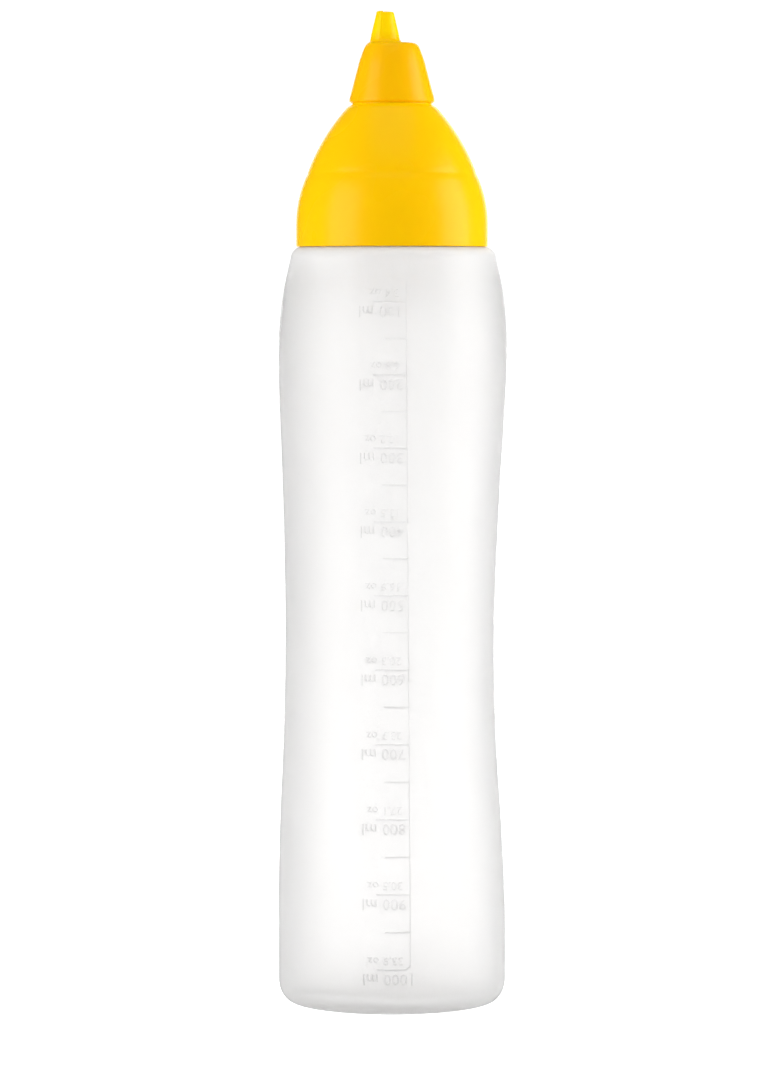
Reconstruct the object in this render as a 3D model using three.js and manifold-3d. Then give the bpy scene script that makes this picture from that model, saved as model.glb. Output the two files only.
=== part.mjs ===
// A one-litre squeeze bottle for sauces, 334.6 mm tall and 77 mm across.
// A soft blown bottle with a pulled-in waist carries a domed screw cap. A small conical
// hood, with a nib beside its middle, covers the outlet on top of the cap.
// Millimetres, +Z up. The origin is the middle of the foot, on the surface it stands on.
import * as THREE from 'three';
import { mergeVertices } from 'three/addons/utils/BufferGeometryUtils.js';
import Module from 'manifold-3d';

const sidesAround = 48;
const weldDistance = 1e-4;
const cutMargin = 1;

// The bottle's foot: a flat ring to stand on, with the floor pushed up inside it.
const footInnerRadius = 27.5;
const footOuterRadius = 32.8;
const footRoundHeight = 7.8;
const pushUp = 3;

// The bottle's wall, as radius and height, from the top of the foot's rounding to the shoulder.
const wall = 1;
const footRadius = 38.4;
const fullRadius = 38.5;
const waistRadius = 35.25;
const waistHeight = 122;
const shoulderHeight = 252.25;
const wallStations = [
  [footRadius, footRoundHeight],
  [footRadius, 32],
  [37.5, 60],
  [35.93, 90],
  [waistRadius, waistHeight],
  [36.07, 160],
  [37.37, 190],
  [38.12, 205],
  [fullRadius, 219],
  [38.05, 231],
  [36.88, 241],
  [34.6, shoulderHeight],
];

// The waist of the soft wall stands a little to the left of the axis.
const waistLean = 0.9;
const leanHeight = 105;
const leanReach = 98;

// The floor inside the bottle is thicker than the wall, most of all in its corner.
const floorTop = 5.5;
const floorRadius = 30;
const floorEdge = 3.2;
const cornerHeight = 10.5;

// The shoulder rolls in to the neck, which the cap's skirt goes over.
const shoulderRoll = 4;
const shoulderRadius = 30.7;
const shoulderMiddle = 251.35;
const shoulderThickness = 1.1;
const neckRadius = 29.4;
const neckBore = 27.4;
const neckFillet = 0.6;
const neckTop = 275.4;
const neckBevel = 0.4;

// The cap: a straight skirt, a lower dome, a shallow crease and an upper dome up to a ledge.
const capFoot = 255.9;
const capRadius = 32.3;
const capBevel = 0.35;
const capWall = 1.8;
const skirtBore = 29.9;
const seatHeight = 275.9;
const lowerDome = { radius: 41, height: 262.7 };
const creaseHeight = 279.8;
const innerCreaseHeight = 279.3;
const upperDome = { radius: 67.3, middle: -34.77, height: 257 };
const domeTop = 302;
const ledgeRoll = 2.2;
const ledgeHeight = 302.75;
const collarRadius = 13.2;
const collarTop = 303.7;
const ceilingRadius = 13;
const ceilingHeight = 301;
const ceilingRound = 0.5;

// The outlet stands on the collar inside the hood.
const outletFootRadius = 10.6;
const outletTopRadius = 5.4;
const outletTop = 320.2;
const outletBevel = 0.6;
const outletBore = 2.5;
const funnelRadius = 4.5;
const funnelHeight = 304;

// The hood: a cone that draws in faster near its rounded top.
const hoodFoot = 304.05;
const hoodRadius = 14.35;
const hoodEdge = 1;
const hoodWall = 1.5;
const hoodBend = { radius: 11.33, height: 316.5 };
const hoodShoulder = { radius: 9.25, height: 322.45 };
const hoodRoll = { radius: 2.37, middle: 7.02, height: 321.63 };
const hoodTop = hoodRoll.height + hoodRoll.radius;

// The nib on the hood: a small cone moulded on beside the hood's middle.
const nibOffset = 2.47;
const nibFootRadius = 5.1;
const nibTopRadius = 3.1;
const nibTop = 334.6;
const nibFillet = 0.8;
const nibBevel = 0.4;
const nibRoot = 2;

// Points of an arc about (middle, height), from one angle to another, measured from the radius.
function arc(middle, height, radius, fromAngle, toAngle, steps, heightRadius = radius) {
  const points = [];
  for (let step = 0; step <= steps; step += 1) {
    const angle = fromAngle + ((toAngle - fromAngle) * step) / steps;
    const x = middle + radius * Math.cos(angle);
    const y = height + heightRadius * Math.sin(angle);
    points.push(new THREE.Vector2(x, y));
  }
  return points;
}

// The angle on a round of the given radius at which it has risen by the given height.
function angleAt(rise, radius) {
  return Math.asin(rise / radius);
}

function point(radius, height) {
  return new THREE.Vector2(radius, height);
}

// A shallow dome's points, from its top on the axis down to its rim.
function shallow(top, rim, reach, steps) {
  const drop = top - rim;
  const radius = (reach * reach + drop * drop) / (2 * drop);
  return arc(0, top - radius, radius, Math.PI / 2, angleAt(radius - drop, radius), steps);
}

// A curve's points moved sideways into the wall by its thickness.
function inset(points, thickness) {
  return points.map((p, i) => {
    const before = points[Math.max(i - 1, 0)];
    const after = points[Math.min(i + 1, points.length - 1)];
    const along = after.clone().sub(before).normalize();
    return new THREE.Vector2(p.x - along.y * thickness, p.y + along.x * thickness);
  });
}

// The profile turned about +Z, as one closed mesh with shared corners.
function turned(profile, sides = sidesAround) {
  const lathe = new THREE.LatheGeometry(profile, sides);
  lathe.rotateX(Math.PI / 2);
  lathe.deleteAttribute('normal');
  lathe.deleteAttribute('uv');
  const merged = mergeVertices(lathe, weldDistance);
  const corners = [];
  for (let i = 0; i < merged.index.count; i += 3) {
    const a = merged.index.getX(i);
    const b = merged.index.getX(i + 1);
    const c = merged.index.getX(i + 2);
    if (a !== b && b !== c && c !== a) {
      corners.push(a, b, c);
    }
  }
  merged.setIndex(corners);
  return merged;
}

// How far the wall's centre stands to the left at a height.
function lean(height) {
  const share = Math.min(Math.abs(height - leanHeight) / leanReach, 1);
  return waistLean * Math.cos((share * Math.PI) / 2) ** 2;
}

function wallPoints(steps) {
  const stations = wallStations.map(([radius, height]) => new THREE.Vector3(radius, height, 0));
  const curve = new THREE.CatmullRomCurve3(stations);
  return curve.getPoints(steps).map((p) => new THREE.Vector2(p.x, p.y));
}

function bottleGeometry() {
  const footRound = footRadius - footOuterRadius;
  const shoulderStart = angleAt(shoulderHeight - shoulderMiddle, shoulderRoll);
  const innerRoll = shoulderRoll - shoulderThickness;
  const cornerRadius = footRadius - wall - floorRadius;
  const outside = [
    ...shallow(pushUp, 0, footInnerRadius, 4),
    ...arc(footOuterRadius, footRoundHeight, footRound, -Math.PI / 2, 0, 6, footRoundHeight),
    ...wallPoints(26).slice(1),
    ...arc(shoulderRadius, shoulderMiddle, shoulderRoll, shoulderStart, Math.PI / 2, 5).slice(1),
    point(neckRadius + neckFillet, shoulderMiddle + shoulderRoll),
    point(neckRadius, shoulderMiddle + shoulderRoll + neckFillet),
    point(neckRadius, neckTop - neckBevel),
    point(neckRadius - neckBevel, neckTop),
  ];
  const inside = [
    ...shallow(floorTop, floorEdge, floorRadius, 3).slice(0, -1),
    ...arc(floorRadius, cornerHeight, cornerRadius, -Math.PI / 2, 0, 5, cornerHeight - floorEdge),
    ...inset(wallPoints(20), wall).filter((p) => p.y > cornerHeight + wall),
    ...arc(shoulderRadius, shoulderMiddle, innerRoll, shoulderStart, Math.PI / 2, 4).slice(1),
    point(neckBore, shoulderMiddle + shoulderRoll - neckFillet),
    point(neckBore, neckTop),
  ];
  const geometry = turned([...outside, ...inside.reverse()]);
  const position = geometry.getAttribute('position');
  for (let i = 0; i < position.count; i += 1) {
    position.setX(i, position.getX(i) - lean(position.getZ(i)));
  }
  return geometry;
}

// The dome's two arcs, drawn at a depth under the outer surface, from one height to another.
function domePoints(depth, fromHeight, crease, toHeight, lowerSteps, upperSteps) {
  const lowerRadius = lowerDome.radius - depth;
  const upperRadius = upperDome.radius - depth;
  const lowerFrom = angleAt(fromHeight - lowerDome.height, lowerRadius);
  const lowerTo = angleAt(crease - lowerDome.height, lowerRadius);
  const upperFrom = angleAt(crease - upperDome.height, upperRadius);
  const upperTo = angleAt(toHeight - upperDome.height, upperRadius);
  const lowerMiddle = capRadius - lowerDome.radius;
  return [
    ...arc(lowerMiddle, lowerDome.height, lowerRadius, lowerFrom, lowerTo, lowerSteps),
    ...arc(upperDome.middle, upperDome.height, upperRadius, upperFrom, upperTo, upperSteps).slice(1),
  ];
}

function capGeometry() {
  const rollStart = angleAt(domeTop - upperDome.height, upperDome.radius);
  const dome = domePoints(0, lowerDome.height, creaseHeight, domeTop, 7, 8);
  const shoulder = dome[dome.length - 1];
  const rollMiddle = shoulder.x - ledgeRoll * Math.cos(rollStart);
  const rollHeight = shoulder.y - ledgeRoll * Math.sin(rollStart);
  const outside = [
    point(skirtBore, capFoot),
    point(capRadius - capBevel, capFoot),
    point(capRadius, capFoot + capBevel),
    ...dome,
    ...arc(rollMiddle, rollHeight, ledgeRoll, rollStart, Math.PI / 2, 3).slice(1),
    point(collarRadius, ledgeHeight),
    point(collarRadius, collarTop),
    point(outletFootRadius, collarTop),
    point(outletTopRadius, outletTop - outletBevel),
    point(outletTopRadius - outletBevel, outletTop),
  ];
  const inside = [
    point(skirtBore, seatHeight),
    ...domePoints(capWall, seatHeight, innerCreaseHeight, ceilingHeight - ceilingRound, 2, 7),
    point(ceilingRadius, ceilingHeight),
    point(funnelRadius, ceilingHeight),
    point(outletBore, funnelHeight),
    point(outletBore, outletTop),
  ];
  return turned([...outside, ...inside.reverse(), outside[0].clone()]);
}

// The hood with its nib, joined into one solid and hollowed from below.
async function hoodGeometry() {
  const wasm = await Module();
  wasm.setup();
  const solid = (geometry) => {
    const vertProperties = new Float32Array(geometry.getAttribute('position').array);
    const triVerts = new Uint32Array(geometry.index.array);
    return new wasm.Manifold(new wasm.Mesh({ numProp: 3, vertProperties, triVerts }));
  };
  const side = new THREE.QuadraticBezierCurve(
    point(hoodBend.radius, hoodBend.height),
    point(hoodBend.radius - 0.8, hoodBend.height + 3),
    point(hoodShoulder.radius, hoodShoulder.height),
  ).getPoints(3);
  const rollStart = angleAt(hoodShoulder.height - hoodRoll.height, hoodRoll.radius);
  const roll = arc(hoodRoll.middle, hoodRoll.height, hoodRoll.radius, rollStart, Math.PI / 2, 4);
  const cone = turned([
    point(0, hoodFoot),
    point(hoodRadius, hoodFoot),
    point(hoodRadius, hoodFoot + hoodEdge),
    ...side,
    ...roll.slice(1),
    point(0, hoodTop),
  ]);
  const hollow = turned([
    point(0, hoodFoot - cutMargin),
    point(hoodRadius - hoodWall, hoodFoot - cutMargin),
    point(hoodRadius - hoodWall, hoodFoot + hoodEdge),
    point(hoodBend.radius - hoodWall, hoodBend.height),
    point(hoodShoulder.radius - hoodWall, hoodShoulder.height - hoodWall),
    point(hoodRoll.middle - hoodWall, hoodTop - hoodWall),
    point(0, hoodTop - hoodWall),
  ]);
  const slope = (nibFootRadius - nibTopRadius) / (nibTop - hoodTop);
  const nib = turned([
    point(0, hoodTop - nibRoot),
    point(nibFootRadius, hoodTop - nibRoot),
    ...arc(nibFootRadius + nibFillet, hoodTop + nibFillet, nibFillet, -Math.PI / 2, -Math.PI, 3),
    point(nibTopRadius + slope * nibBevel, nibTop - nibBevel),
    point(nibTopRadius - nibBevel, nibTop),
    point(0, nibTop),
  ]);
  nib.translate(-nibOffset, 0, 0);
  const joined = solid(cone).add(solid(nib)).subtract(solid(hollow)).getMesh();
  const geometry = new THREE.BufferGeometry();
  geometry.setAttribute('position', new THREE.BufferAttribute(joined.vertProperties, 3));
  geometry.setIndex(new THREE.BufferAttribute(joined.triVerts, 1));
  return geometry;
}

function piece(name, geometry, color, roughness) {
  const material = new THREE.MeshStandardMaterial({ color, roughness, metalness: 0 });
  const mesh = new THREE.Mesh(geometry, material);
  mesh.name = name;
  geometry.computeVertexNormals();
  return mesh;
}

const squeezeBottle = new THREE.Group();
squeezeBottle.add(piece('bottle', bottleGeometry(), 0xf3f2f1, 0.5));
squeezeBottle.add(piece('cap', capGeometry(), 0xf8c800, 0.45));
squeezeBottle.add(piece('hood', await hoodGeometry(), 0xf6c200, 0.45));

export default squeezeBottle;
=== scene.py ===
from math import asin, atan, atan2, cos, pi, radians, sin

import bpy
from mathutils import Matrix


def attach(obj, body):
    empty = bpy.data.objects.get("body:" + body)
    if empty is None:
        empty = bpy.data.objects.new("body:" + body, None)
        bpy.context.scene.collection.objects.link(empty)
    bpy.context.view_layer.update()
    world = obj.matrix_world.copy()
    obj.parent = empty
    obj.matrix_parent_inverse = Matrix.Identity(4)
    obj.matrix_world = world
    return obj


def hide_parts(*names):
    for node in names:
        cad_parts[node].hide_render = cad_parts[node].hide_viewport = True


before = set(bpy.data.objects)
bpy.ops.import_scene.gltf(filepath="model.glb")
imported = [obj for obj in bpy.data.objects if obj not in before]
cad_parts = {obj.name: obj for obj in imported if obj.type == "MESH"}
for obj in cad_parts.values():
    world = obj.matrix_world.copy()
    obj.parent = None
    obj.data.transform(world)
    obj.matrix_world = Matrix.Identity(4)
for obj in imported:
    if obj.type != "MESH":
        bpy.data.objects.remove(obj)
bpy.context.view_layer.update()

MM = 0.001


# The studio. A white acrylic table, lit softly from inside, runs out to a white surround. The
# softboxes stand at both sides, above and behind, so the front of the yellow cap is its darkest
# part. Their light isn't seen through the bottle: there, only the table and the surround are.
EYE_DISTANCE = 1660 * MM
EYE_HEIGHT = 240 * MM
EYE_SIDE = -1.5 * MM
PHOTO_HEIGHT = 1080
SENSOR = 36
HORIZON_ROW = 292.75
PIXELS_PER_METRE = 1 / (0.3376 * MM)
TABLE_SIZE = 40
TABLE_GLOW = 0.9
TABLE_GLOW_THROUGH = 0.67
ROOM_GLOW = 0.33
BACKDROP_GLOW = 1.1
BACKDROP_GLOW_THROUGH = 0.93
GLOSS_GLOW = 0.04

focal_pixels = EYE_DISTANCE * PIXELS_PER_METRE
eye = bpy.data.cameras.new("eye")
eye.sensor_width = SENSOR
eye.lens = focal_pixels * SENSOR / PHOTO_HEIGHT
eye.clip_start = 0.1
eye.clip_end = 60
camera = bpy.data.objects.new("eye", eye)
camera.location = (EYE_SIDE, -EYE_DISTANCE, EYE_HEIGHT)
look_down = atan((PHOTO_HEIGHT / 2 - HORIZON_ROW) / focal_pixels)
camera.rotation_euler = (pi / 2 - look_down, 0, 0)
bpy.context.scene.collection.objects.link(camera)
bpy.context.scene.camera = camera
bpy.context.scene.view_settings.view_transform = "Standard"


def strength_by_ray(tree, otherwise, choices):
    """A light strength that differs with the kind of ray that meets the lit surface."""
    path = tree.nodes.new("ShaderNodeLightPath")
    strength = None
    for ray, value in choices:
        choice = tree.nodes.new("ShaderNodeMix")
        choice.inputs["A"].default_value = otherwise
        choice.inputs["B"].default_value = value
        tree.links.new(path.outputs[ray], choice.inputs["Factor"])
        if strength:
            tree.links.new(strength, choice.inputs["A"])
        strength = choice.outputs["Result"]
    return strength


bpy.ops.object.select_all(action="DESELECT")
bpy.ops.mesh.primitive_plane_add(size=TABLE_SIZE)
table_top = bpy.context.object
table_top.name = "table_top"

acrylic = bpy.data.materials.new("lit_acrylic")
acrylic.use_nodes = True
acrylic_shader = acrylic.node_tree.nodes["Principled BSDF"]
acrylic_shader.inputs["Base Color"].default_value = (0.8, 0.8, 0.8, 1)
acrylic_shader.inputs["Roughness"].default_value = 0.6
acrylic_shader.inputs["Specular IOR Level"].default_value = 0.1
acrylic_shader.inputs["Emission Color"].default_value = (1, 1, 1, 1)
acrylic_glow = strength_by_ray(
    acrylic.node_tree, 0, (("Is Camera Ray", TABLE_GLOW), ("Is Transmission Ray", TABLE_GLOW_THROUGH))
)
acrylic.node_tree.links.new(acrylic_glow, acrylic_shader.inputs["Emission Strength"])
table_top.data.materials.append(acrylic)

surround = bpy.data.worlds.new("white_surround")
surround.use_nodes = True
backdrop = surround.node_tree.nodes["Background"]
backdrop.inputs["Color"].default_value = (1, 1, 1, 1)
backdrop_glow = strength_by_ray(
    surround.node_tree,
    ROOM_GLOW,
    (
        ("Is Glossy Ray", GLOSS_GLOW),
        ("Is Camera Ray", BACKDROP_GLOW),
        ("Is Transmission Ray", BACKDROP_GLOW_THROUGH),
    ),
)
surround.node_tree.links.new(backdrop_glow, backdrop.inputs["Strength"])
bpy.context.scene.world = surround


def softbox(name, azimuth, distance, height, width, power, tilt):
    """A soft light round the bottle, azimuth 0 at the camera, 90 at the right; tilt 0 is down."""
    lamp = bpy.data.lights.new(name, "AREA")
    lamp.shape = "RECTANGLE"
    lamp.size = width
    lamp.size_y = 1
    lamp.energy = power
    light = bpy.data.objects.new(name, lamp)
    turn = radians(azimuth)
    light.location = (distance * sin(turn), -distance * cos(turn), height)
    light.rotation_euler = (radians(tilt), 0, turn)
    light.visible_transmission = False
    bpy.context.scene.collection.objects.link(light)


softbox("left_softbox", azimuth=-61, distance=1.0, height=0.38, width=0.7, power=9.5, tilt=90)
softbox("right_softbox", azimuth=83, distance=1.0, height=0.42, width=0.7, power=11.8, tilt=90)
softbox("top_softbox", azimuth=0, distance=0.35, height=1.3, width=1.0, power=3.2, tilt=0)
softbox("back_softbox", azimuth=178, distance=1.1, height=0.38, width=0.9, power=5, tilt=90)


# The bottle. One piece of natural low-density polyethylene, blow-moulded with a pulled-in
# waist, a rounded foot with its floor pushed up, and a thick corner inside the foot. The wall
# is a little thicker at the shoulder, and is made cloudier there in bands: partly for that
# thicker wall, partly as painted light that lifts the shade the cap casts on the shoulder.
SIDES = 160
WALL = 1.0
FOOT_HEIGHT = 7.8
WALL_STATIONS = [
    (FOOT_HEIGHT, 38.4),
    (32, 38.4),
    (60, 37.5),
    (90, 35.93),
    (122, 35.25),
    (160, 36.07),
    (190, 37.37),
    (205, 38.12),
    (219, 38.47),
    (231, 38.05),
    (241, 36.88),
    (251.5, 34.66),
]
LEAN_STATIONS = [
    (0, 0),
    (28, 0),
    (60, -0.45),
    (85, -0.72),
    (125, -0.74),
    (165, -0.33),
    (200, 0.06),
    (222, 0.3),
    (250, 0.45),
    (254.6, 0.4),
    (256.4, 0),
    (276, 0),
]
WALL_ROWS = 58
WALL_ROW = 3.976
FINE_FROM = 237
FINE_ROWS = 10
FINE_ROW = 1.5
FOOT_INNER = 27.5
FOOT_LIP = 0.6
FOOT_OUTER = 32.8
PUSH_UP = 3
FLOOR_TOP = 5.5
FLOOR_RADIUS = 30
FLOOR_EDGE = 3.2
CORNER_HEIGHT = 10.5
SHOULDER_ROLL = 4.1
SHOULDER_MIDDLE = (30.55, 251.35)
SHOULDER_THICKNESS = 1.1
NECK_RADIUS = 29.4
NECK_BORE = 27.4
NECK_TOP = 275.4
NECK_EDGE = 0.4
NECK_ROUND = 0.6
CLEARNESS = 0.9
# The cloudier bands up the shoulder are partly painted light: they lift the shade under the cap's rim.
CLOUDY_PAINTED_LIGHT_FROM = 243.5
CLOUDY_PAINTED_LIGHT_ROWS = 7
CLOUDY_PAINTED_LIGHT_CLEARNESS = 0.86
CLOUDY_PAINTED_LIGHT_STEP = 0.06


def smooth(stations, height):
    """The value at a height on a smooth curve through a list of stations, which sets out at a
    third of its first slope."""
    spans = list(zip(stations, stations[1:]))
    slopes = [(b[1] - a[1]) / (b[0] - a[0]) for a, b in spans]
    tangents = [slopes[0] / 3]
    tangents += [(before + after) / 2 for before, after in zip(slopes, slopes[1:])]
    tangents.append(slopes[-1])
    for i, (a, b) in enumerate(spans):
        if height <= b[0] or i == len(spans) - 1:
            reach = b[0] - a[0]
            t = (height - a[0]) / reach
            level = a[1] * (1 - t) ** 2 * (1 + 2 * t) + b[1] * t * t * (3 - 2 * t)
            bend = tangents[i] * t * (1 - t) ** 2 - tangents[i + 1] * t * t * (1 - t)
            return level + bend * reach


def arc(middle, radius, start, end, steps, tall=None):
    """Rings on an arc about a point of the outline, its angles in degrees from level."""
    tall = radius if tall is None else tall
    turns = [radians(start + (end - start) * i / steps) for i in range(steps + 1)]
    return [(middle[0] + radius * cos(a), middle[1] + tall * sin(a)) for a in turns]


def shallow(top, rim, reach, steps):
    """Rings of a shallow dome, from near its top on the axis down to its rim."""
    drop = top - rim
    radius = (reach * reach + drop * drop) / (2 * drop)
    edge = asin((radius - drop) / radius) * 180 / pi
    return arc((0, top - radius), radius, 90 - (90 - edge) / steps / 2, edge, steps)


def grow(name, rings, sides, closed=False):
    """A round piece grown ring by ring, as by extruding the face or edge of a circle.
    Each ring is its radius, its height and how far its middle stands to the right."""
    rings = [(ring[0] * MM, ring[1] * MM, ring[2] * MM if len(ring) > 2 else 0) for ring in rings]
    radius, height, side = rings[0]
    bpy.ops.object.select_all(action="DESELECT")
    fill = "NOTHING" if closed else "NGON"
    bpy.ops.mesh.primitive_circle_add(vertices=sides, radius=radius, fill_type=fill)
    piece = bpy.context.object
    piece.name = name
    piece.data.name = name
    bpy.ops.object.mode_set(mode="EDIT")
    bpy.ops.mesh.select_all(action="SELECT")
    bpy.ops.transform.translate(value=(side, 0, height))
    for ring, after in zip(rings, rings[1:]):
        step = (after[2] - ring[2], 0, after[1] - ring[1])
        bpy.ops.mesh.extrude_region_move(TRANSFORM_OT_translate={"value": step})
        size = after[0] / ring[0]
        middle = (after[2], 0, after[1])
        bpy.ops.transform.resize(value=(size, size, 1), center_override=middle)
    bpy.ops.mesh.select_all(action="SELECT")
    if closed:
        bpy.ops.mesh.remove_doubles(threshold=0.01 * MM)
    bpy.ops.mesh.normals_make_consistent(inside=False)
    bpy.ops.object.mode_set(mode="OBJECT")
    bpy.ops.object.shade_smooth_by_angle(angle=radians(35))
    return piece


wall_heights = [FOOT_HEIGHT + WALL_ROW * i for i in range(WALL_ROWS)]
wall_heights += [FINE_FROM + FINE_ROW * i for i in range(FINE_ROWS)]
wall_heights += [WALL_STATIONS[-1][0]]
shoulder_top = SHOULDER_MIDDLE[1] + SHOULDER_ROLL
foot_round = WALL_STATIONS[0][1] - FOOT_OUTER
corner = WALL_STATIONS[0][1] - WALL - FLOOR_RADIUS
roll_start = asin((WALL_STATIONS[-1][0] - SHOULDER_MIDDLE[1]) / SHOULDER_ROLL) * 180 / pi
outside = [
    *shallow(PUSH_UP, 0, FOOT_INNER, 6),
    (FOOT_INNER + FOOT_LIP, 0),
    *arc((FOOT_OUTER, FOOT_HEIGHT), foot_round, -90, 0, 12, FOOT_HEIGHT),
    *[(smooth(WALL_STATIONS, h), h) for h in wall_heights[1:]],
    *arc(SHOULDER_MIDDLE, SHOULDER_ROLL, roll_start, 90, 10)[1:],
    (NECK_RADIUS + NECK_ROUND, shoulder_top),
    (NECK_RADIUS, shoulder_top + NECK_ROUND),
    (NECK_RADIUS, NECK_TOP - NECK_EDGE),
    (NECK_RADIUS - NECK_EDGE, NECK_TOP),
]
inside = [
    *shallow(FLOOR_TOP, FLOOR_EDGE, FLOOR_RADIUS, 6)[:-1],
    *arc((FLOOR_RADIUS, CORNER_HEIGHT), corner, -90, 0, 10, CORNER_HEIGHT - FLOOR_EDGE),
    *[(smooth(WALL_STATIONS, h) - WALL, h) for h in wall_heights if h > CORNER_HEIGHT + 1],
    *arc(SHOULDER_MIDDLE, SHOULDER_ROLL - SHOULDER_THICKNESS, roll_start, 90, 8)[1:],
    (NECK_BORE, shoulder_top - NECK_ROUND),
    (NECK_BORE, NECK_TOP),
]
bottle_rings = [(radius, height, smooth(LEAN_STATIONS, height)) for radius, height in outside + inside[::-1]]
bottle = grow("blown_bottle", bottle_rings, SIDES)
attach(bottle, "root")
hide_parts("bottle")


def add_grain_group():
    """Moulded grain: fine pits for the bump, and slow clouds in the plastic's thickness."""
    group = bpy.data.node_groups.new("moulded_grain", "ShaderNodeTree")
    for name, kind, way in (
        ("Grain Size", "NodeSocketFloat", "INPUT"),
        ("Cloud Size", "NodeSocketFloat", "INPUT"),
        ("Pits", "NodeSocketFloat", "OUTPUT"),
        ("Clouds", "NodeSocketFloat", "OUTPUT"),
    ):
        group.interface.new_socket(name, in_out=way, socket_type=kind)
    nodes, links = group.nodes, group.links
    given = nodes.new("NodeGroupInput")
    result = nodes.new("NodeGroupOutput")
    place = nodes.new("ShaderNodeTexCoord")
    for output, size, detail in (("Pits", "Grain Size", 3), ("Clouds", "Cloud Size", 2)):
        noise = nodes.new("ShaderNodeTexNoise")
        noise.inputs["Detail"].default_value = detail
        links.new(place.outputs["Object"], noise.inputs["Vector"])
        links.new(given.outputs[size], noise.inputs["Scale"])
        links.new(noise.outputs["Fac"], result.inputs[output])
    return group


grain_group = add_grain_group()


def moulded(name, thin, thick, roughness, pit_depth, grain_size, cloud_size, change=None):
    """A moulded plastic whose colour drifts between two tones, under a fine grain. It may
    change to a third tone over a range of height, given as low, high and that tone; in this script that
    third tone is always painted light or shade."""
    material = bpy.data.materials.new(name)
    material.use_nodes = True
    nodes, links = material.node_tree.nodes, material.node_tree.links
    shader = nodes["Principled BSDF"]
    grain = nodes.new("ShaderNodeGroup")
    grain.node_tree = grain_group
    grain.inputs["Grain Size"].default_value = grain_size
    grain.inputs["Cloud Size"].default_value = cloud_size
    tone = nodes.new("ShaderNodeMix")
    tone.data_type = "RGBA"
    tone.inputs["A"].default_value = (*thin, 1)
    tone.inputs["B"].default_value = (*thick, 1)
    links.new(grain.outputs["Clouds"], tone.inputs["Factor"])
    colour = tone.outputs["Result"]
    if change:
        low, high, last = change
        place = nodes.new("ShaderNodeTexCoord")
        parts = nodes.new("ShaderNodeSeparateXYZ")
        rise = nodes.new("ShaderNodeMapRange")
        rise.inputs["From Min"].default_value = low * MM
        rise.inputs["From Max"].default_value = high * MM
        blend = nodes.new("ShaderNodeMix")
        blend.data_type = "RGBA"
        blend.inputs["B"].default_value = (*last, 1)
        links.new(place.outputs["Object"], parts.inputs["Vector"])
        links.new(parts.outputs["Z"], rise.inputs["Value"])
        links.new(rise.outputs["Result"], blend.inputs["Factor"])
        links.new(colour, blend.inputs["A"])
        colour = blend.outputs["Result"]
    links.new(colour, shader.inputs["Base Color"])
    gloss = nodes.new("ShaderNodeMapRange")
    gloss.inputs["To Min"].default_value = roughness - 0.04
    gloss.inputs["To Max"].default_value = roughness + 0.04
    links.new(grain.outputs["Clouds"], gloss.inputs["Value"])
    links.new(gloss.outputs["Result"], shader.inputs["Roughness"])
    bump = nodes.new("ShaderNodeBump")
    bump.inputs["Distance"].default_value = pit_depth
    bump.inputs["Strength"].default_value = 0.5
    links.new(grain.outputs["Pits"], bump.inputs["Height"])
    links.new(bump.outputs["Normal"], shader.inputs["Normal"])
    return material, shader


# Less clear, more diffuse bands up the shoulder: partly the thicker wall, partly painted light that lifts
# the shade under the cap's rim.
bands = [(0, CLEARNESS)]
bands += [(CLOUDY_PAINTED_LIGHT_FROM + FINE_ROW * i, CLOUDY_PAINTED_LIGHT_CLEARNESS - CLOUDY_PAINTED_LIGHT_STEP * i) for i in range(CLOUDY_PAINTED_LIGHT_ROWS)]
for height, clearness in bands:
    milky, milky_shader = moulded(
        f"milky_polyethylene_from_{height:.0f}_mm",
        thin=(0.992, 0.99, 0.986),
        thick=(0.985, 0.978, 0.974),
        roughness=0.5,
        pit_depth=0.03 * MM,
        grain_size=900,
        cloud_size=18,
    )
    milky_shader.inputs["IOR"].default_value = 1.5
    milky_shader.inputs["Transmission Weight"].default_value = clearness
    milky_shader.inputs["Specular IOR Level"].default_value = 0.25
    bottle.data.materials.append(milky)
    for face in bottle.data.polygons:
        if face.center.z > height * MM:
            face.material_index = len(bottle.data.materials) - 1


# The measuring scale. Ticks, figures and the upright line stand up from the wall in the same
# plastic, cut into the mould. They read with the bottle stood on its cap, as it is stored.
FIRST_TICK = 237.1
FIRST_STEP = 12.08
STEP_GROWTH = 0.0128
TICKS = 19
LINE_TOP = (4.7, 244)
LINE_FOOT = (6.1, 16.5)
LONG_TICK = 11.2
SHORT_TICK = 8.3
STROKE = 0.5
LINE_STROKE = 0.24
RELIEF = 0.3
SUNK = 0.06
VOLUME_HEIGHT = 3.7
OUNCE_HEIGHT = 2.75
VOLUME_INSET = 1.1
OUNCE_INSET = 2.3
FIGURE_STEP = 2.9
SPACING = 1.03
TURN_IN = (1.3, 1.25)
TURN_OVERLAP = 0.1
LABEL_GAP = 1.5
ML_PER_OUNCE = 29.53
TICK_CUTS = 12
TURN_CUTS = 4
LINE_CUTS = 120
IN_FRONT = -45
marks = []


def line_side(height):
    """How far right the scale's upright line is at a height; it stands slightly out of true."""
    share = (LINE_TOP[1] - height) / (LINE_TOP[1] - LINE_FOOT[1])
    return LINE_TOP[0] + (LINE_FOOT[0] - LINE_TOP[0]) * share


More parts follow.
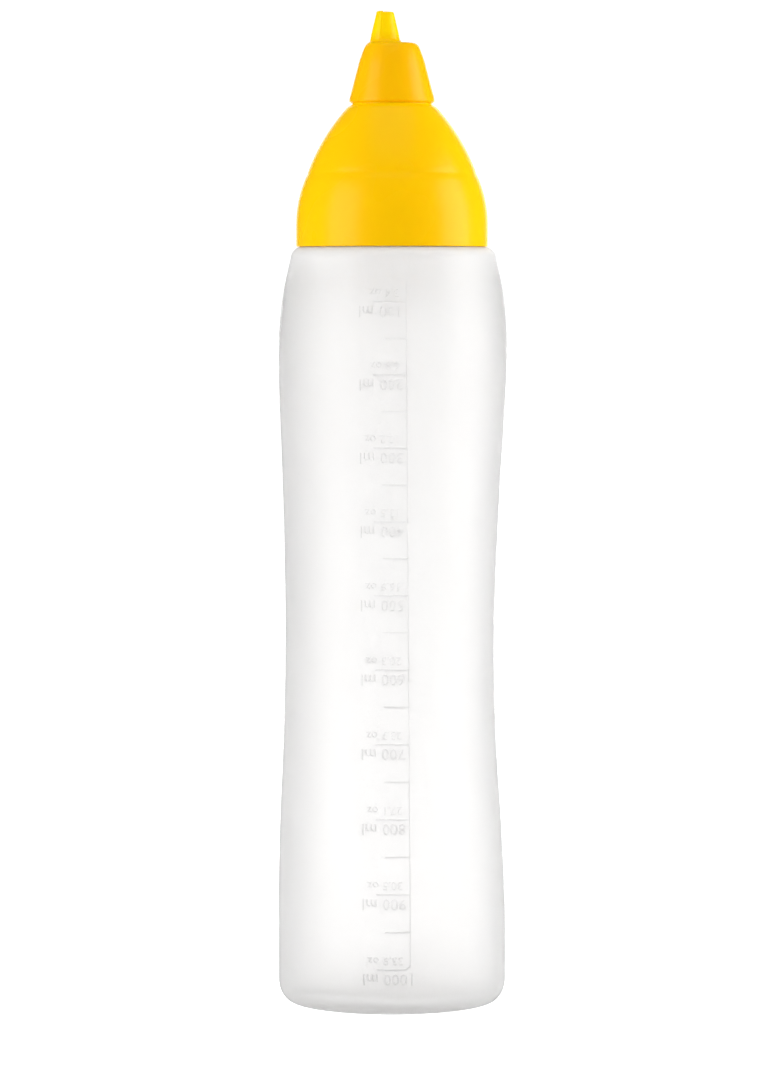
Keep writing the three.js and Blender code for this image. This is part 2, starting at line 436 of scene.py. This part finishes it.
def stroke(start, end, cuts, width=STROKE):
    """A flat bar in front of the wall from start to end, cut across so that it can bend."""
    bpy.ops.object.select_all(action="DESELECT")
    bpy.ops.mesh.primitive_grid_add(x_subdivisions=cuts, y_subdivisions=1, size=1)
    bar = bpy.context.object
    run = (end[0] - start[0], end[1] - start[1])
    length = (run[0] ** 2 + run[1] ** 2) ** 0.5
    tilt = pi / 2 if run[0] == 0 else atan(run[1] / run[0])
    bar.scale = (length * MM, width * MM, 1)
    bar.rotation_euler = (pi / 2, -tilt, 0)
    bar.location = ((start[0] + end[0]) / 2 * MM, IN_FRONT * MM, (start[1] + end[1]) / 2 * MM)
    bpy.ops.object.transform_apply(location=True, rotation=True, scale=True)
    marks.append(bar)


def figures(words, tall, right, top):
    """Raised lettering that reads upside down, its first figure at the right."""
    bpy.ops.object.select_all(action="DESELECT")
    bpy.ops.object.text_add()
    text = bpy.context.object
    text.data.body = words
    text.data.resolution_u = 3
    text.data.space_character = SPACING
    bpy.ops.object.convert(target="MESH")
    text = bpy.context.object
    size = tall * MM / text.dimensions.y
    text.scale = (size, size, size)
    text.rotation_euler = (pi / 2, pi, 0)
    text.location = (right * MM, IN_FRONT * MM, top * MM)
    bpy.ops.object.transform_apply(location=True, rotation=True, scale=True)
    marks.append(text)


for count in range(TICKS):
    height = FIRST_TICK - FIRST_STEP * count - STEP_GROWTH * count * count
    volume = 100 + 50 * count
    length = LONG_TICK if count % 2 == 0 else SHORT_TICK
    side = line_side(height)
    last = count == TICKS - 1
    stroke((side - length, height), (side - (TURN_IN[0] if last else 0), height), TICK_CUTS)
    if count % 2 == 0:
        right = side - VOLUME_INSET + (FIGURE_STEP if last else 0)
        figures(f"{volume} ml", VOLUME_HEIGHT, right, height - LABEL_GAP)
        ounces = volume / ML_PER_OUNCE
        ounce_top = height + LABEL_GAP + OUNCE_HEIGHT
        figures(f"{ounces:.1f} oz", OUNCE_HEIGHT, side - OUNCE_INSET, ounce_top)
    if last:
        stroke((side - TURN_IN[0] - TURN_OVERLAP, height), (side, height + TURN_IN[1]), TURN_CUTS)
stroke(LINE_FOOT, LINE_TOP, LINE_CUTS, LINE_STROKE)

bpy.ops.object.select_all(action="DESELECT")
for mark in marks:
    mark.select_set(True)
bpy.context.view_layer.objects.active = marks[0]
bpy.ops.object.join()
scale_marks = bpy.context.object
scale_marks.name = "scale_marks"
onto_wall = scale_marks.modifiers.new("onto_wall", "SHRINKWRAP")
onto_wall.target = bottle
onto_wall.wrap_method = "PROJECT"
onto_wall.use_project_y = True
bpy.ops.object.modifier_apply(modifier="onto_wall")
raised = scale_marks.modifiers.new("raised", "SOLIDIFY")
raised.thickness = RELIEF * MM
raised.offset = 1 - 2 * SUNK / RELIEF
bpy.ops.object.modifier_apply(modifier="raised")
bpy.ops.object.mode_set(mode="EDIT")
bpy.ops.mesh.select_all(action="SELECT")
bpy.ops.mesh.normals_make_consistent(inside=False)
bpy.ops.object.mode_set(mode="OBJECT")
bpy.ops.object.shade_smooth_by_angle(angle=radians(35))
# The marks are a grey tone that lightens from 15 mm up to 160 mm: painted shade, standing in for the shading
# of the relief's edges, strongest near the foot.
relief, relief_shader = moulded(
    "milky_relief_painted_shade",
    thin=(0.92, 0.92, 0.92),
    thick=(0.89, 0.89, 0.89),
    roughness=0.45,
    pit_depth=0.02 * MM,
    grain_size=900,
    cloud_size=18,
    change=(15, 160, (0.98, 0.98, 0.98)),
)
relief_shader.inputs["IOR"].default_value = 1.5
relief_shader.inputs["Transmission Weight"].default_value = 0.88
relief_shader.inputs["Specular IOR Level"].default_value = 0.3
scale_marks.data.materials.append(relief)
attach(scale_marks, "root")


# The cap. Yellow polyethylene, injection-moulded: a skirt screwed over the neck, a lower dome,
# a shallow crease and an upper dome. A low collar on its ledge carries the outlet.
CAP_FOOT = 255.5
CAP_RADIUS = 32.3
CAP_EDGE = 0.15
CAP_WALL = 1.8
SKIRT_BORE = 29.9
SEAT_HEIGHT = 275.9
LOWER_DOME = (-8.7, 262.7, 41)
CREASE_HEIGHT = 279.8
INNER_CREASE = 279.3
GROOVE_DEPTH = 0.12
GROOVE_REACH = 2.2
UPPER_DOME = (-34.77, 257, 67.3)
DOME_TOP = 302
LEDGE_ROLL = 2.2
LEDGE_ROLL_END = 72
LEDGE_EDGE = (13.9, 302.95)
COLLAR_RADIUS = 13.35
COLLAR_FOOT = 303.3
COLLAR_TOP = 303.5
CEILING = (13, 301)
OUTLET_FOOT = 10.6
OUTLET_RADIUS = 5.4
OUTLET_TOP = 320.2
OUTLET_EDGE = 0.6
OUTLET_BORE = 2.5
FUNNEL = (4.5, 304)
CAP_SIDES = 144


def dome_arc(dome, depth, low, high, steps):
    """Rings of one of the dome's two rounds, drawn at a depth under the surface."""
    middle, level, radius = dome
    radius -= depth
    start = asin((low - level) / radius) * 180 / pi
    end = asin((high - level) / radius) * 180 / pi
    return arc((middle, level), radius, start, end, steps)


def grooved(rings):
    """The rings of a round, pulled in a little next to the crease."""
    result = []
    for radius, height in rings:
        share = min(abs(height - CREASE_HEIGHT) / GROOVE_REACH, 1)
        result.append((radius - GROOVE_DEPTH * cos(share * pi / 2) ** 2, height))
    return result


lower_round = grooved(dome_arc(LOWER_DOME, 0, LOWER_DOME[1], CREASE_HEIGHT, 44))
upper_round = grooved(dome_arc(UPPER_DOME, 0, CREASE_HEIGHT, DOME_TOP, 56))
roll_angle = asin((DOME_TOP - UPPER_DOME[1]) / UPPER_DOME[2])
shoulder = upper_round[-1]
ledge_middle = (shoulder[0] - LEDGE_ROLL * cos(roll_angle), shoulder[1] - LEDGE_ROLL * sin(roll_angle))
cap_rings = [
    (SKIRT_BORE, CAP_FOOT),
    (CAP_RADIUS - CAP_EDGE, CAP_FOOT),
    (CAP_RADIUS, CAP_FOOT + CAP_EDGE),
    *lower_round,
    *upper_round[1:],
    *arc(ledge_middle, LEDGE_ROLL, roll_angle * 180 / pi, LEDGE_ROLL_END, 6)[1:],
    LEDGE_EDGE,
    (COLLAR_RADIUS, COLLAR_FOOT),
    (COLLAR_RADIUS, COLLAR_TOP),
    (OUTLET_FOOT, COLLAR_TOP),
    (OUTLET_RADIUS, OUTLET_TOP - OUTLET_EDGE),
    (OUTLET_RADIUS - OUTLET_EDGE, OUTLET_TOP),
    (OUTLET_BORE, OUTLET_TOP),
    (OUTLET_BORE, FUNNEL[1]),
    (FUNNEL[0], CEILING[1]),
    CEILING,
    *dome_arc(UPPER_DOME, CAP_WALL, INNER_CREASE, CEILING[1] - 0.5, 14)[::-1],
    *dome_arc(LOWER_DOME, CAP_WALL, SEAT_HEIGHT, INNER_CREASE, 3)[-2::-1],
    (SKIRT_BORE, SEAT_HEIGHT),
    (SKIRT_BORE, CAP_FOOT),
]
cap = grow("domed_cap", cap_rings, CAP_SIDES, closed=True)


def yellow_polyethylene(name, thin, thick, change):
    """The yellow plastic: a soft satin that lets light in a little way."""
    material, shader = moulded(
        name, thin, thick, roughness=0.27, pit_depth=0.02 * MM, grain_size=700, cloud_size=25, change=change
    )
    shader.inputs["Specular IOR Level"].default_value = 0.09
    shader.inputs["Subsurface Weight"].default_value = 0.35
    shader.inputs["Subsurface Radius"].default_value = (0.006, 0.003, 0.0006)
    return material


# Above 302 mm, on the ledge, collar and outlet, the yellow turns a lighter lemon: painted light, a painted
# highlight on the ledge and lighter colour where the hood shades the collar.
warm_yellow = yellow_polyethylene(
    "warm_yellow_polyethylene",
    thin=(0.96, 0.555, 0.0),
    thick=(0.95, 0.54, 0.0),
    change=(302, 303, (0.99, 0.66, 0.0)),
)
cap.data.materials.append(warm_yellow)
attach(cap, "root")
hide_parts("cap")


# The hood. A cone of the same yellow polyethylene, pushed over the outlet down to the collar.
# Its nib is moulded on beside the middle, flush with the shoulder at the left. A fine rib runs
# down the nib from the raised edge where it was cut from the sprue.
HOOD_SIDES = 128
HOOD_FOOT = 303.53
HOOD_BRIM = 304.1
HOOD_SEAT = 13.45
HOOD_RADIUS = 14.35
HOOD_EDGE = 1
HOOD_WALL = 1.5
HOOD_BEND = (11.33, 316.5)
HOOD_SHOULDER = (9.25, 322.45)
HOOD_CEILING = 322.5
NIB_SIDE = -2.3
NIB_FOOT = (4.78, 326.3)
NIB_HEAD = (3.03, 333.7)
NIB_ROWS = 8
NIB_TOP = 334.6
NIB_TOP_RADIUS = 2.95
NIB_EDGE = 334.1
NIB_STEP = 0.3
NIB_STEP_SIDE = -3.1
NIB_RIB = 0.16
NIB_RIB_ANGLE = -23
NIB_RIB_REACH = (326.2, 333.8)
NIB_RIB_WIDTH = 2.5 * pi / HOOD_SIDES

nib_rings = []
for row in range(NIB_ROWS + 1):
    share = row / NIB_ROWS
    radius, height = [foot + (head - foot) * share for foot, head in zip(NIB_FOOT, NIB_HEAD)]
    nib_rings.append((radius, height, NIB_SIDE))
hood_rings = [
    (1.2, HOOD_CEILING),
    (HOOD_SHOULDER[0] - 3.7, HOOD_CEILING),
    (HOOD_SHOULDER[0] - HOOD_WALL, 320.9),
    (HOOD_BEND[0] - HOOD_WALL, HOOD_BEND[1]),
    (HOOD_RADIUS - HOOD_WALL, HOOD_BRIM + HOOD_EDGE),
    (HOOD_SEAT - 0.8, HOOD_FOOT),
    (HOOD_SEAT, HOOD_FOOT),
    (HOOD_RADIUS - 0.1, HOOD_BRIM),
    (HOOD_RADIUS, HOOD_BRIM + 0.1),
    (HOOD_RADIUS, HOOD_BRIM + HOOD_EDGE - 0.15),
    (HOOD_RADIUS - 0.06, HOOD_BRIM + HOOD_EDGE + 0.15),
    (12.85, 310.7),
    (HOOD_BEND[0] + 0.06, HOOD_BEND[1] - 0.25),
    (HOOD_BEND[0] - 0.06, HOOD_BEND[1] + 0.35),
    (10.75, 318.5),
    (10.05, 320.5),
    HOOD_SHOULDER,
    (8.93, 323.0),
    (8.5, 323.47, -0.06),
    (8.05, 323.8, -0.2),
    (7.3, 323.96, -0.75),
    (6.0, 324.03, -1.75),
    (5.6, 324.15, -2.0),
    (5.25, 324.5, -2.2),
    (5.0, 325.1, -2.28),
    (4.87, 325.7, -2.3),
    *nib_rings,
    (NIB_TOP_RADIUS, 334.25, NIB_SIDE),
    (NIB_TOP_RADIUS - 0.2, 334.5, NIB_SIDE),
    (NIB_TOP_RADIUS - 0.5, NIB_TOP, NIB_SIDE),
    *[(NIB_TOP_RADIUS - 0.8 - 0.3 * i, NIB_TOP, NIB_SIDE) for i in range(7)],
]
hood = grow("nib_hood", hood_rings, HOOD_SIDES)


def nudge(piece, chosen, step):
    """Moves the vertices of a piece that lie where chosen says."""
    bpy.ops.object.select_all(action="DESELECT")
    piece.select_set(True)
    bpy.context.view_layer.objects.active = piece
    bpy.ops.object.mode_set(mode="EDIT")
    bpy.ops.mesh.select_mode(type="VERT")
    bpy.ops.mesh.select_all(action="DESELECT")
    bpy.ops.object.mode_set(mode="OBJECT")
    for vertex in piece.data.vertices:
        vertex.select = chosen(vertex.co / MM)
    bpy.ops.object.mode_set(mode="EDIT")
    bpy.ops.transform.translate(value=[move * MM for move in step])
    bpy.ops.object.mode_set(mode="OBJECT")


nudge(hood, lambda at: at.z > NIB_EDGE and at.x > NIB_STEP_SIDE, (0, 0, -NIB_STEP))
rib = radians(-90 + NIB_RIB_ANGLE)


def on_rib(at):
    """Whether a point of the nib lies on its fine rib."""
    low, high = NIB_RIB_REACH
    return low < at.z < high and abs(atan2(at.y, at.x - NIB_SIDE) - rib) < NIB_RIB_WIDTH


nudge(hood, on_rib, (NIB_RIB * cos(rib), NIB_RIB * sin(rib), 0))
# The hood's yellow is darker than the cap's though it is the same plastic: painted shade on the hood. From
# 322.5 mm up the nib turns a light lemon: painted light, where light shines through the thin nib.
yellow_painted_shade_and_light = yellow_polyethylene(
    "deep_yellow_polyethylene",
    thin=(0.92, 0.49, 0.0),
    thick=(0.91, 0.475, 0.0),
    change=(322.5, 328, (0.99, 0.65, 0.0)),
)
hood.data.materials.append(yellow_painted_shade_and_light)
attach(hood, "root")
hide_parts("hood")
